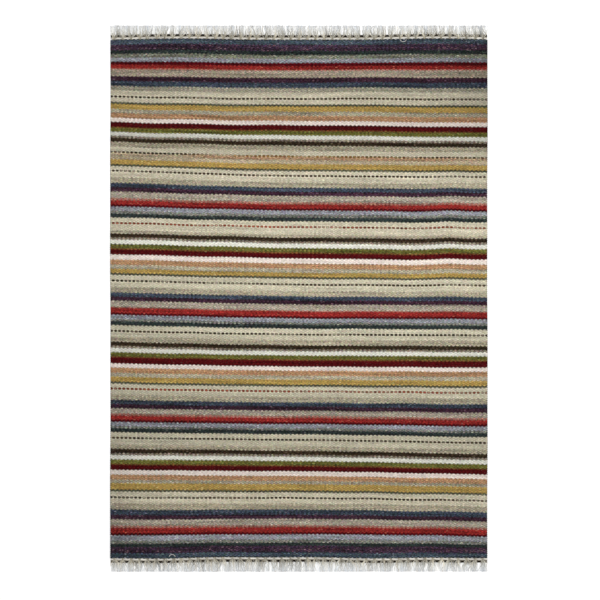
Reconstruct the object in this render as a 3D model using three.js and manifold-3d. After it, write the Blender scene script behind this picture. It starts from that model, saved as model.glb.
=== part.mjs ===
// Striped flat-woven kilim rug lying flat, with its warp ends left as a fringe at both ends.
// Millimetres. X runs across the rug, Y along it, Z is up and the underside lies at Z = 0.
import * as THREE from "three";
import { mergeVertices } from "three/addons/utils/BufferGeometryUtils.js";
import Module from "manifold-3d";

// Woven field
const FIELD_WIDTH = 1200;
const FIELD_LENGTH = 1650;
const CLOTH_THICKNESS = 7;
const EDGE_SHOULDER = 5;
const EDGE_HEIGHT_SHARE = 0.55;
const CELLS_ACROSS = 26;
const CELLS_ALONG = 36;

// End cord, the narrow strip that the fringe hangs from
const SEAM_GAP = 0.3;
const CORD_WIDTH = 5.5;
const CORD_HEIGHT = 6.5;
const CORD_EDGE_HEIGHT = 4.5;
const CORD_COLUMNS_A_LOCK = 2;
const STITCH_DIP = 0.8;

// Fringe locks, each a root that parts into three strands
const LOCKS_PER_END = 45;
const LOCK_PITCH = FIELD_WIDTH / LOCKS_PER_END;
const ROOT_DEPTH = 2.5;
const ROOT_HALF_WIDTH = 6.2;
const FORK_REACH = 10;
const FORK_HALF_WIDTH = 10.6;
const FORK_OFFSET = 3.9;
const TRIM_LINE = 44;
const TIP_SPREAD = 8.6;
const TIP_HALF_WIDTH = 2.4;
const ROOT_HEIGHT = 5.6;
const TIP_HEIGHT = 2.6;
const TRIM_JITTER = 1.4;
const LEAN_JITTER = 1.1;
const STRAND_SIDES = [-1, 0, 1];
const TRIM_SALT = 7;
const LEAN_SALT = 3;

// The repeatable jitter: how far an index, a salt and the folding move it on
const JITTER_INDEX_STEP = 12.9898;
const JITTER_SALT_STEP = 78.233;
const JITTER_FOLDS = 43758.5453;

// Slow unevenness of hand weaving: how far each edge or face swings, over what length, and from where
const TOP_WAVES = [
  { swing: 1.9, length: 800, start: 230 },
  { swing: 0.7, length: 400, start: -65 },
];
const BOTTOM_WAVES = [
  { swing: 1.3, length: 740, start: 40 },
  { swing: 1.3, length: 1400, start: 330 },
  { swing: 0.85, length: 330, start: 150 },
];
const SIDE_WAVES = [
  { swing: 0.6, length: 930, start: 200 },
  { swing: 0.3, length: 340, start: 70 },
];
const FACE_WAVES = [
  { swing: 0.3, length: 410, start: 120 },
  { swing: 0.15, length: 190, start: 30 },
];

// The two ends of the rug: which way each faces along Y, and the waves of its edge
const TOP_END = { facing: 1, waves: TOP_WAVES };
const BOTTOM_END = { facing: -1, waves: BOTTOM_WAVES };

const wasm = await Module();
wasm.setup();

const fieldMaterial = new THREE.MeshStandardMaterial({ color: 0x897869, roughness: 0.95, metalness: 0 });
const fringeMaterial = new THREE.MeshStandardMaterial({ color: 0xb7b2a5, roughness: 0.92, metalness: 0 });

// Sum of the slow waves of a table at a place along their run
function swingAt(waves, place) {
  let total = 0;
  for (const wave of waves) {
    total += wave.swing * Math.sin((2 * Math.PI * (place - wave.start)) / wave.length);
  }
  return total;
}

// Repeatable number between -1 and 1 for the piece with this index
function jitter(index, salt) {
  const wrapped = Math.sin(index * JITTER_INDEX_STEP + salt * JITTER_SALT_STEP) * JITTER_FOLDS;
  return 2 * (wrapped - Math.floor(wrapped)) - 1;
}

// Where the field stops along Y at one end, at this place across the rug
function endLine(x, end) {
  return end.facing * (FIELD_LENGTH / 2 + swingAt(end.waves, x));
}

// Where the field stops along X at one side, at this place along the rug; side is 1 at +X and -1 at -X
function sideLine(y, side) {
  return side * (FIELD_WIDTH / 2 + swingAt(SIDE_WAVES, y + side * FIELD_LENGTH));
}

// Bends a geometry by giving every vertex a new place, and leaves only merged positions
function reshaped(geometry, place) {
  const positions = geometry.attributes.position;
  const vertex = new THREE.Vector3();
  for (let i = 0; i < positions.count; i += 1) {
    vertex.fromBufferAttribute(positions, i);
    place(vertex);
    positions.setXYZ(i, vertex.x, vertex.y, vertex.z);
  }
  geometry.deleteAttribute("normal");
  geometry.deleteAttribute("uv");
  return mergeVertices(geometry);
}

// Grid lines that are even inside and close together at both edges, where the cloth rounds over
function gridPlace(share, cells, span) {
  const line = Math.round((share + 0.5) * cells);
  if (line === 0 || line === cells) {
    return share * span;
  }
  const inner = (line - 1) / (cells - 2) - 0.5;
  return inner * (span - 2 * EDGE_SHOULDER);
}

function wovenField() {
  const box = new THREE.BoxGeometry(1, 1, 1, CELLS_ACROSS, CELLS_ALONG, 1);
  return reshaped(box, (vertex) => {
    const onRim = Math.max(Math.abs(vertex.x), Math.abs(vertex.y)) === 0.5;
    const flatX = gridPlace(vertex.x, CELLS_ACROSS, FIELD_WIDTH);
    const flatY = gridPlace(vertex.y, CELLS_ALONG, FIELD_LENGTH);
    const side = vertex.x < 0 ? -1 : 1;
    const end = vertex.y < 0 ? BOTTOM_END : TOP_END;
    const x = flatX * (sideLine(flatY, side) / (side * FIELD_WIDTH / 2));
    const y = flatY * (endLine(flatX, end) / (end.facing * FIELD_LENGTH / 2));
    const crown = CLOTH_THICKNESS + swingAt(FACE_WAVES, flatY + flatX / 2) + swingAt(FACE_WAVES, flatX);
    const top = onRim ? CLOTH_THICKNESS * EDGE_HEIGHT_SHARE : crown;
    vertex.set(x, y, vertex.z > 0 ? top : 0);
  });
}

// The end cord: a low rounded strip whose top dips once at every lock
function endCord(end) {
  const columns = CORD_COLUMNS_A_LOCK * LOCKS_PER_END;
  const box = new THREE.BoxGeometry(1, 1, 1, columns, 2, 1);
  return reshaped(box, (vertex) => {
    const x = vertex.x * FIELD_WIDTH;
    const column = Math.round((vertex.x + 0.5) * columns);
    const outward = SEAM_GAP + (end.facing * vertex.y + 0.5) * CORD_WIDTH;
    const y = endLine(x, end) + end.facing * outward;
    const onEdge = Math.abs(vertex.y) === 0.5;
    const dip = column % CORD_COLUMNS_A_LOCK === 1 ? STITCH_DIP : 0;
    const top = (onEdge ? CORD_EDGE_HEIGHT : CORD_HEIGHT) - dip;
    vertex.set(x, y, vertex.z > 0 ? top : 0);
  });
}

// Plan of one lock, seen from above with the cord below it: a root that forks into three strands
// that reach the straight line where the fringe is trimmed
function lockPlan(end, lock, trimReach) {
  const plan = new THREE.Shape();
  plan.moveTo(ROOT_HALF_WIDTH, -ROOT_DEPTH);
  plan.lineTo(ROOT_HALF_WIDTH, 0);
  plan.lineTo(FORK_HALF_WIDTH, FORK_REACH);
  for (const side of [...STRAND_SIDES].reverse()) {
    const strand = STRAND_SIDES.length * lock + side;
    const reach = trimReach + TRIM_JITTER * jitter(strand, TRIM_SALT + end.facing);
    plan.lineTo(side * TIP_SPREAD + TIP_HALF_WIDTH, reach);
    plan.lineTo(side * TIP_SPREAD - TIP_HALF_WIDTH, reach);
    if (side > STRAND_SIDES[0]) {
      plan.lineTo((side - 0.5) * 2 * FORK_OFFSET, FORK_REACH);
    }
  }
  plan.lineTo(-FORK_HALF_WIDTH, FORK_REACH);
  plan.lineTo(-ROOT_HALF_WIDTH, 0);
  plan.lineTo(-ROOT_HALF_WIDTH, -ROOT_DEPTH);
  plan.closePath();
  return plan;
}

// One lock of the fringe, flat underneath and lower towards its tips
function fringeLock(end, lock) {
  const lockX = (lock + 0.5) * LOCK_PITCH - FIELD_WIDTH / 2;
  const lean = LEAN_JITTER * jitter(lock, LEAN_SALT + end.facing);
  const rootY = endLine(lockX, end) + end.facing * (SEAM_GAP + CORD_WIDTH);
  const trimReach = FIELD_LENGTH / 2 + TRIM_LINE - Math.abs(rootY);
  const plan = lockPlan(end, lock, trimReach);
  const block = new THREE.ExtrudeGeometry(plan, { depth: 1, bevelEnabled: false });
  return reshaped(block, (vertex) => {
    const reachShare = Math.max(vertex.y, 0) / trimReach;
    const height = ROOT_HEIGHT + (TIP_HEIGHT - ROOT_HEIGHT) * Math.min(reachShare, 1);
    const across = end.facing * vertex.x + lean * reachShare;
    vertex.set(lockX + across, rootY + end.facing * vertex.y, vertex.z * height);
  });
}

function toSolid(geometry) {
  return new wasm.Manifold(
    new wasm.Mesh({
      numProp: 3,
      vertProperties: new Float32Array(geometry.attributes.position.array),
      triVerts: new Uint32Array(geometry.index.array),
    }),
  );
}

function toGeometry(solid) {
  const mesh = solid.getMesh();
  const geometry = new THREE.BufferGeometry();
  geometry.setAttribute("position", new THREE.BufferAttribute(mesh.vertProperties, 3));
  geometry.setIndex(new THREE.BufferAttribute(mesh.triVerts, 1));
  geometry.computeVertexNormals();
  return geometry;
}

// The fringe of one end: every lock joined to the cord at its root
function fringe(end) {
  let joined = toSolid(endCord(end));
  for (let lock = 0; lock < LOCKS_PER_END; lock += 1) {
    joined = joined.add(toSolid(fringeLock(end, lock)));
  }
  return toGeometry(joined);
}

function namedMesh(name, geometry, material) {
  const mesh = new THREE.Mesh(geometry, material);
  mesh.name = name;
  return mesh;
}

const rug = new THREE.Group();
rug.add(namedMesh("woven_field", wovenField(), fieldMaterial));
rug.add(namedMesh("fringe_top", fringe(TOP_END), fringeMaterial));
rug.add(namedMesh("fringe_bottom", fringe(BOTTOM_END), fringeMaterial));

export default rug;
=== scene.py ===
# Striped flat-woven kilim rug: yarn by yarn field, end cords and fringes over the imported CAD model
# Metres. X runs across the rug, Y along it towards the top of the photo, Z is up
import math

import bpy
import numpy as np
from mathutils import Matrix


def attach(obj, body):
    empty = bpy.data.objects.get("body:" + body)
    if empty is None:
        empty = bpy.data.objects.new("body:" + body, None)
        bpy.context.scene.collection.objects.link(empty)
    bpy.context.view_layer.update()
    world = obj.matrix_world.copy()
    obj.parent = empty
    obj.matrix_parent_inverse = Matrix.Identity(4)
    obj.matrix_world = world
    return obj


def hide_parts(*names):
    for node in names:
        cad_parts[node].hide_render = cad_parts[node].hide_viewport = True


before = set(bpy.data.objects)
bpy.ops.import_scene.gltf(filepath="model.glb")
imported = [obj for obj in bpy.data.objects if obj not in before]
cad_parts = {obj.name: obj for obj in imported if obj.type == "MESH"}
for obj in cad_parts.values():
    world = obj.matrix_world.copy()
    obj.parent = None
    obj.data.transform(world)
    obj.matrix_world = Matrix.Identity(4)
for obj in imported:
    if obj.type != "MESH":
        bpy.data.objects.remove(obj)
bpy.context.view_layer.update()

MM = 0.001
BODY = "root"

# The woven field, with the same driving sizes as the CAD source
FIELD_WIDTH = 1.2
FIELD_LENGTH = 1.65
CLOTH_THICKNESS = 7 * MM

# Slow unevenness of hand weaving: how many millimetres an edge or face swings, over what length, from where
TOP_WAVES = [(1.9, 0.800, 0.230), (0.7, 0.400, -0.065)]
BOTTOM_WAVES = [(1.3, 0.740, 0.040), (1.3, 1.400, 0.330), (0.85, 0.330, 0.150)]
SIDE_WAVES = [(0.6, 0.930, 0.200), (0.3, 0.340, 0.070)]
FACE_WAVES = [(0.3, 0.410, 0.120), (0.15, 0.190, 0.030)]

# The weave: warps run along Y, and each pick of weft shows on every second warp. CELLS is the cells of the
# grid across a warp, and LENS_SHIFT is how far, in warps, a bead bulges over its neighbours
WARPS = 183
BEAD_SHOULDERS = (0.0, 0.25, 0.75)
CELLS = len(BEAD_SHOULDERS)
LENS_SHIFT = 0.25
PICK_RISE = 0.15 * MM
CREASE_DROP = 1.9 * MM
WARP_VALLEY_DROP = 1.7 * MM
BEAD_HEIGHT_JITTER = 0.14 * MM
BEAD_PLACE_JITTER = 0.28 * MM
RIM_HEIGHT = 3.4 * MM
RIM_SCALLOP = 0.55 * MM
END_SCALLOP = 0.8 * MM
STRIPS = 5

# Depth in the weave, by which light and shade are painted into the wool's colour, from 0 on a bead to 1
# where a warp's beads meet
VALLEY_DEPTH = 0.8
RIM_DEPTH = 0.6
BACK_DEPTH = 0.2
SHADOW_WEFT_DEPTH = 0.3

# Slow wander of the warps: how many waves, how far in warps, and their lengths in picks and in warps
WANDER_WAVES = 6
WANDER = 0.05
WANDER_PICKS = (60, 240)
WANDER_WARPS = (12, 60)

# How far the picks lie below their even place. END_REACH is the share of the length over which the picks
# next to an end follow the wave of that end
END_REACH = 0.09
DRIFT_FADE_TOP = 0.03
DRIFT_FADE_BOTTOM = 0.04
TOP_LAG = 0.5 * MM
BOTTOM_LEAD = 3.6 * MM
LEFT_PULL = 13.6 * MM
LEFT_SKEW = 0.68
LEFT_BEND = 1.4
RIGHT_PULL = 3.5 * MM
RIGHT_START = 0.09
RIGHT_RAMP = 0.08
RIGHT_BEND = 1.1
RIGHT_FROM = -0.027
LOW_RIGHT_FROM = 0.08
# Swells of one side: how many millimetres down, at which share of the length, over what reach
LEFT_SWELLS = [(-2.9, 0.26, 0.05), (4.1, 0.97, 0.05)]
RIGHT_SWELLS = [(-1.6, 0.05, 0.03), (2.9, 0.19, 0.06)]
LOW_RIGHT_SWELLS = [(8.3, 0.80, 0.10), (4.5, 0.95, 0.07)]
# Uneven beating of the picks over the whole width, in the same terms
BEAT_SWELLS = [
    (-1.2, 0.085, 0.012), (1.3, 0.325, 0.020), (-0.9, 0.390, 0.012), (0.8, 0.417, 0.010),
    (-0.9, 0.545, 0.018), (-1.5, 0.670, 0.018), (-0.6, 0.777, 0.010), (1.4, 0.828, 0.010),
    (-1.1, 0.850, 0.010), (-1.2, 0.914, 0.010),
]
# Swells in one place only: millimetres down, at which X, over what reach, and the same along the length
LOCAL_SWELLS = [
    (-3.2, 0.475, 0.035, 0.36, 0.12), (-2.4, 0.20, 0.20, 0.09, 0.045), (2.8, 0.34, 0.12, 0.43, 0.06),
    (1.6, -0.10, 0.60, 0.78, 0.07), (-2.2, -0.45, 0.18, 0.262, 0.035), (-1.2, 0.12, 0.15, 0.155, 0.05),
    (-1.4, -0.35, 0.25, 0.395, 0.03), (3.2, -0.42, 0.14, 0.91, 0.03), (1.9, -0.15, 0.22, 0.965, 0.03),
    (-1.9, 0.38, 0.22, 0.96, 0.03), (1.9, 0.37, 0.07, 0.33, 0.09), (-1.8, -0.25, 0.20, 0.793, 0.03),
    (1.5, 0.10, 0.13, 0.48, 0.10), (-1.9, 0.51, 0.03, 0.29, 0.06),
]
# Short ripples: how far, how many, and their lengths across and along. A ripple of the usual length across
# swings that far, and a longer one further
RIPPLE = 0.6 * MM
RIPPLE_WAVES = 9
RIPPLE_ACROSS = (0.09, 0.30)
RIPPLE_ALONG = (0.5, 1.3)
RIPPLE_USUAL = 0.2

# Yarns: colour as seen, from 0 to 255, how mixed the wool is, how often a fleck shows, and its colour
YARNS = {
    "slate": ((58, 68, 77), 0.3, 0.03, (112, 118, 122)),
    "plum": ((53, 38, 52), 0.36, 0.06, (104, 78, 88)),
    "plum_fleck": ((56, 41, 50), 0.36, 0.14, (124, 98, 106)),
    "night": ((38, 45, 44), 0.28, 0.02, (92, 100, 92)),
    "sage": ((110, 111, 97), 0.24, 0.05, (168, 166, 150)),
    "sage_light": ((136, 132, 115), 0.17, 0.04, (176, 170, 150)),
    "lavender": ((130, 131, 137), 0.18, 0.04, (176, 176, 180)),
    "maroon": ((67, 1, 13), 0.24, 0.02, (120, 50, 50)),
    "red": ((126, 36, 33), 0.22, 0.03, (166, 92, 74)),
    "rust": ((145, 97, 85), 0.22, 0.08, (176, 130, 118)),
    "khaki": ((144, 134, 117), 0.18, 0.06, (184, 150, 138)),
    "aubergine": ((51, 31, 42), 0.32, 0.03, (104, 80, 92)),
    "navy": ((53, 61, 72), 0.28, 0.03, (102, 108, 118)),
    "cream": ((180, 173, 152), 0.09, 0.03, (160, 150, 124)),
    "ivory": ((176, 170, 149), 0.09, 0.03, (172, 162, 136)),
    "oat": ((150, 142, 122), 0.16, 0.05, (182, 176, 154)),
    "teal": ((69, 70, 56), 0.22, 0.04, (120, 120, 92)),
    "mustard": ((156, 130, 71), 0.13, 0.03, (186, 166, 110)),
    "terracotta": ((157, 121, 89), 0.16, 0.03, (186, 152, 122)),
    "offwhite": ((202, 191, 182), 0.07, 0.01, (190, 176, 164)),
    "white": ((193, 192, 181), 0.07, 0.01, (180, 174, 158)),
    "garnet": ((69, 10, 13), 0.19, 0.01, (104, 34, 34)),
    "olive": ((90, 88, 41), 0.22, 0.03, (134, 132, 78)),
    "olive_brown": ((100, 65, 35), 0.2, 0.04, (134, 112, 70)),
    "marl": ((114, 104, 91), 0.24, 0.10, (168, 160, 142)),
    "brown": ((45, 35, 24), 0.3, 0.02, (96, 84, 66)),
    "stone": ((147, 138, 124), 0.17, 0.05, (190, 180, 164)),
    "greygreen": ((104, 104, 97), 0.24, 0.06, (168, 166, 152)),
    "beige": ((168, 154, 128), 0.14, 0.04, (190, 178, 152)),
    "wedge": ((158, 127, 98), 0.18, 0.05, (186, 146, 116)),
    "dot_dark": ((52, 42, 31), 0.3, 0.0, (52, 42, 31)),
    "dot_mixed": ((116, 88, 51), 0.30, 0.0, (116, 88, 51)),
    "dot_red": ((106, 53, 38), 0.30, 0.0, (106, 53, 38)),
}

# Stripes from the top end down: yarn and number of picks
FIRST_STRIPES = [
    ("slate", 5), ("plum", 4), ("plum_fleck", 1), ("plum", 1), ("night", 4), ("sage", 4),
    ("lavender", 4), ("maroon", 3), ("red", 4), ("rust", 1), ("khaki", 7), ("aubergine", 5),
    ("navy", 5), ("sage_light", 4), ("cream", 6), ("dot_dark", 1), ("cream", 5), ("teal", 2),
    ("mustard", 5), ("oat", 4), ("terracotta", 5), ("offwhite", 4), ("garnet", 5),
    ("olive_brown", 1), ("olive", 4), ("white", 4), ("marl", 2), ("brown", 4), ("oat", 5),
    ("cream", 5), ("dot_mixed", 1), ("wedge", 3), ("beige", 4),
]
LAST_STRIPES = [("plum", 3), ("plum_fleck", 1), ("plum", 2), ("slate", 5)]
REPEAT_YARNS = (
    "mustard", "teal", "ground", "upper_dots", "ground", "oat", "navy", "aubergine", "stone", "rust",
    "red", "maroon", "lavender", "greygreen", "night", "ground", "lower_dots", "ground", "oat", "brown",
    "marl", "white", "olive", "olive_brown", "garnet", "offwhite", "terracotta", "oat",
)


def repeat(counts, ground, upper_dots="dot_dark", lower_dots="dot_dark"):
    """Stripes of one repeat of the pattern, or of its start where there are fewer counts."""
    own = {"ground": ground, "upper_dots": upper_dots, "lower_dots": lower_dots}
    return [(own.get(yarn, yarn), count) for yarn, count in zip(REPEAT_YARNS, counts)]


# The weaver's repeats differ by a pick here and there, and in the yarn of their ground and dots
STRIPES = [
    *FIRST_STRIPES,
    *repeat(
        (5, 2, 4, 1, 6, 5, 4, 4, 6, 2, 4, 2, 4, 3, 4, 5, 1, 7, 3, 4, 2, 4, 4, 1, 5, 5, 5, 4),
        "cream",
        lower_dots="dot_red",
    ),
    *repeat((4, 2, 5, 1, 6, 5, 4, 4, 6, 1, 5, 2, 4, 2, 4, 5, 1, 5, 5, 4, 2, 4, 4, 1, 6, 4, 5, 4), "ivory"),
    *repeat(
        (5, 2, 4, 1, 5, 5, 4, 4, 5, 2, 4, 2, 4, 2, 4, 5, 1, 6, 4, 4, 2, 4, 4, 1, 5, 5, 5, 3),
        "ivory",
        upper_dots="dot_red",
    ),
    *repeat((6, 2, 5, 1, 5, 6, 5, 4, 6, 2, 5, 2, 5, 3, 3), "cream"),
    *LAST_STRIPES,
]
PICK_YARNS = [yarn for yarn, count in STRIPES for _ in range(count)]
PICKS = len(PICK_YARNS)

# Yarns laid over part of the width only: the yarn that they give way to, and their share at places across
PART_WIDTH = {
    "wedge": ("beige", (-0.38, 0), (-0.30, 1), (0.43, 1), (0.52, 0.45)),
    "dot_mixed": ("dot_dark", (-0.40, 0), (-0.30, 1), (0.34, 1), (0.44, 0.2)),
}

# How colour wanders in the wool: pick to pick, along a pick, bead to bead and warp to warp
PICK_COLOUR_JITTER = 0.035
STREAK_BEADS = 22
STREAK_SHARE = 1.05
BEAD_SHARE = 0.6
BEAD_SHADES = (0.45, 1.7)
HUE_SHARE = 0.2
WARP_TONE = 0.03
WARP_TONE_PICKS = 60
WOOL_LIMITS = (0.002, 0.95)

# Lighter and darker bands of the wool down the length: share of the length and tone
LENGTH_TONES = [
    (0, 0.98), (0.12, 0.98), (0.235, 0.935), (0.258, 1.11), (0.42, 1.11),
    (0.60, 1.06), (0.67, 1.02), (0.70, 0.93), (0.80, 0.98), (1, 1.0),
]
# Patches of painted shade, at two corners and along the left side, and of painted light in the middle: how
# much lighter, then place and reach as for the local swells
SHADE_AND_LIGHT_PATCHES = [
    (-0.29, 0.60, 0.17, 0.05, 0.15),
    (-0.12, -0.60, 0.17, 0.60, 0.45),
    (-0.18, -0.60, 0.12, 0.99, 0.12),
    (0.04, 0.25, 0.40, 0.45, 0.25),
]

# The dotted lines: how much the ground shows through, how that swings over how many beads and from bead
# to bead, and its most
DOT_FAINT = 0.03
DOT_FAINT_SWING = 0.13
DOT_BEADS = 14
DOT_GRAIN = 0.12
DOT_FAINT_MOST = 0.7

# What the corners of a bead's cells show: the share of the pick beside it, and how strongly a fleck shows.
# First at the bead's own pick, then at its tips; in each, first on its body, then on its creases.
# DOT_DIVE is the share of a dot's yarn on the body and the creases of the beads beside it
BESIDE_SHARE = ((0.0, 0.2), (0.34, 0.5))
FLECK_WEIGHT = ((1.6, 0.8), (0.3, 0.3))
DOT_DIVE = (0.45, 0.95)
FLECK_CELLS = 3
FLECK_STRENGTH = (0.25, 1.0)

# Colour of the walls where the field is cut into strips, and how mixed the wool is of the dark tubes that
# paint the shadow between the locks
CUT_TINT = (0.05, 0.05, 0.05, 0.0)
TUBE_MIXING = 0.2

# End cord and fringe, with the same driving sizes as the CAD source
LOCKS = 45
LOCK_PITCH = FIELD_WIDTH / LOCKS
TRIM_LINE = 44 * MM
TOP_END = 1
BOTTOM_END = -1

# Where each chain of random draws starts. The two ends of the rug add 1 and -1 to theirs
SEEDS = {"weave": 5, "ripple": 11, "wool": 23, "flecks": 31, "fringe": 40, "bunches": 70, "bunch_tints": 90}


def waves_at(waves, place):
    """Sum of the slow waves of a table at a place along their run."""
    total = 0.0
    for swing, length, start in waves:
        total = total + swing * MM * np.sin(2 * math.pi * (place - start) / length)
    return total


def end_line(x, end):
    """Where the field stops along Y at one end; end is 1 at the top and -1 at the bottom."""
    waves = TOP_WAVES if end == TOP_END else BOTTOM_WAVES
    return end * (FIELD_LENGTH / 2 + waves_at(waves, x))


def side_line(y, side):
    """Where the field stops along X at one side; side is 1 at +X and -1 at -X."""
    return side * (FIELD_WIDTH / 2 + waves_at(SIDE_WAVES, y + side * FIELD_LENGTH))


def crown(x, y):
    """Height of the cloth's upper face before the relief of its yarns."""
    return CLOTH_THICKNESS + waves_at(FACE_WAVES, y + x / 2) + waves_at(FACE_WAVES, x)


def linear(colour):
    """Linear light from a colour as seen, 0 to 255."""
    c = np.asarray(colour, float) / 255
    return np.where(c <= 0.04045, c / 12.92, ((c + 0.055) / 1.055) ** 2.4)


def eased(share):
    """A smooth step from 0 to 1."""
    share = np.clip(share, 0, 1)
    return share * share * (3 - 2 * share)


def smooth_noise(rng, count, span):
    """Values of about unit spread along a line, smooth over span steps."""
    knots = rng.normal(size=count // span + 4)
    place = np.arange(count) / span + rng.uniform(0, 1)
    low = place.astype(int)
    share = eased(place - low)
    return knots[low] * (1 - share) + knots[low + 1] * share


def swells(table, along):
    """Sum of a table's bell-shaped swells at a share of the length."""
    total = 0.0
    for height, place, reach in table:
        total = total + height * MM * np.exp(-(((along - place) / reach) ** 2))
    return total


def local_swells(table, x, along, unit=1):
    """Sum of a table's swells that are bell-shaped both across and along."""
    total = 0.0
    for height, place, reach, along_place, along_reach in table:
        near = ((x - place) / reach) ** 2 + ((along - along_place) / along_reach) ** 2
        total = total + height * unit * np.exp(-near)
    return total


def ripple(x, along):
    """Short uneven swings of the picks, across the rug in some decimetres and slower along it."""
    rng = np.random.default_rng(SEEDS["ripple"])
    total = np.zeros(np.broadcast(x, along).shape)
    for _ in range(RIPPLE_WAVES):
        across_length = rng.uniform(*RIPPLE_ACROSS)
        along_length = rng.uniform(*RIPPLE_ALONG)
        turn = rng.uniform(0, 2 * math.pi, 2)
        swing = np.sin(2 * math.pi * x / across_length + turn[0])
        slow = np.sin(2 * math.pi * along * FIELD_LENGTH / along_length + turn[1])
        total += RIPPLE * swing * slow * (across_length / RIPPLE_USUAL) / math.sqrt(RIPPLE_WAVES)
    return total


def drift(x, along):
    """How far the picks lie below their even place; along is 0 at the top end and 1 at the bottom."""
    half = FIELD_WIDTH / 2
    skewed = np.clip(along, 0, 1) ** LEFT_SKEW
    left = -LEFT_PULL * np.sin(math.pi * skewed) + swells(LEFT_SWELLS, along)
    right = RIGHT_PULL * eased((along - RIGHT_START) / RIGHT_RAMP) + swells(RIGHT_SWELLS, along)
    low_right = swells(LOW_RIGHT_SWELLS, along)
    to_left = np.clip(-x / half, 0, 1) ** LEFT_BEND
    to_right = np.clip((x - RIGHT_FROM) / (half - RIGHT_FROM), 0, 1) ** RIGHT_BEND
    to_low_right = np.clip((x - LOW_RIGHT_FROM) / (half - LOW_RIGHT_FROM), 0, 1) ** RIGHT_BEND
    total = TOP_LAG - (TOP_LAG + BOTTOM_LEAD) * along + swells(BEAT_SWELLS, along)
    total = total + left * to_left + right * to_right + low_right * to_low_right
    total = total + local_swells(LOCAL_SWELLS, x, along, MM) + ripple(x, along)
    return total * eased(along / DRIFT_FADE_TOP) * eased((1 - along) / DRIFT_FADE_BOTTOM)


def wander(rng, rows, across):
    """Slow sideways wander of the warps, in warps."""
    total = np.zeros(across.shape)
    for _ in range(WANDER_WAVES):
        turn = rng.uniform(0, 2 * math.pi, 2)
        down = np.sin(2 * math.pi * rows[:, None] / rng.uniform(*WANDER_PICKS) + turn[0])
        total += WANDER * down * np.sin(2 * math.pi * across / rng.uniform(*WANDER_WARPS) + turn[1])
    return total


def lattice():
    """The field's upper face as a grid: one row at each pick's centre and a rim row at each end. Returns
    its points, their depth in the weave, their place in warps and picks, and the points below the creases
    between warps."""
    rng = np.random.default_rng(SEEDS["weave"])
    columns = np.arange(WARPS * CELLS + 1)
    warp = columns // CELLS
    shoulder = np.array(BEAD_SHOULDERS)[columns % CELLS]
    rows = np.arange(PICKS + 2)
    pick_place = np.clip(rows - 0.5, 0, PICKS)
    on_boundary = (columns % CELLS == 0)[None, :]
    shows = (warp[None, :] + rows[:, None] - 1) % 2 == 0
    inside = (columns > 0) & (columns < columns[-1])
    lens = np.where(shows, -LENS_SHIFT, LENS_SHIFT) * (on_boundary & inside[None, :])
    side_place = lens + warp[None, :]
    left_side = side_place[:, warp * CELLS]
    right_side = side_place[:, np.minimum(warp + 1, WARPS) * CELLS]
    across = left_side + shoulder * (right_side - left_side)
    across = across + wander(rng, rows, across) * inside[None, :]

    along = np.repeat((pick_place / PICKS)[:, None], len(columns), 1)
    nominal_y = FIELD_LENGTH * (0.5 - along)
    left, right = side_line(nominal_y, -1), side_line(nominal_y, 1)
    x = left + (right - left) * across / WARPS
    near_top, near_bottom = 1 - eased(along / END_REACH), 1 - eased((1 - along) / END_REACH)
    y = nominal_y + waves_at(TOP_WAVES, x) * near_top - waves_at(BOTTOM_WAVES, x) * near_bottom
    y = y - drift(x, along)

    place_shift = rng.normal(size=(len(rows), WARPS)) * BEAD_PLACE_JITTER
    height_shift = rng.normal(size=(len(rows), WARPS)) * BEAD_HEIGHT_JITTER
    bead = np.minimum(warp, WARPS - 1)
    row_inside = ((rows > 0) & (rows < rows[-1]))[:, None]
    body = row_inside & ~on_boundary
    y = y + place_shift[:, bead] * body
    drop = np.where(on_boundary, WARP_VALLEY_DROP, np.where(shows, -PICK_RISE, CREASE_DROP))
    z = crown(x, y) - drop + height_shift[:, bead] * body
    rim = ~(row_inside & inside[None, :])
    z = np.where(rim, RIM_HEIGHT, z)

    side_bulge = np.where((rows % 2 == 0)[:, None], 1, -1) * RIM_SCALLOP * row_inside
    x = x + side_bulge * (columns == columns[-1])[None, :] - side_bulge * (columns == 0)[None, :]
    end_bulge = np.where(shows & ~on_boundary, 1, -1) * END_SCALLOP * ~row_inside
    y = y + end_bulge * np.where(rows == 0, 1, -1)[:, None]

    depth = np.where(on_boundary, VALLEY_DEPTH, np.where(shows, 0.0, 1.0))
    depth = np.where(rim, RIM_DEPTH, depth)
    points = np.stack([x, y, z], -1)
    weave = np.stack(np.broadcast_arrays(warp + shoulder, pick_place[:, None]), -1)
    under = points[:, ::CELLS].copy()
    under[:, :, 0] -= 2 * lens[:, ::CELLS] * FIELD_WIDTH / WARPS
    under[:, :, 2] = 0
    return points, depth, weave, under


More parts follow.
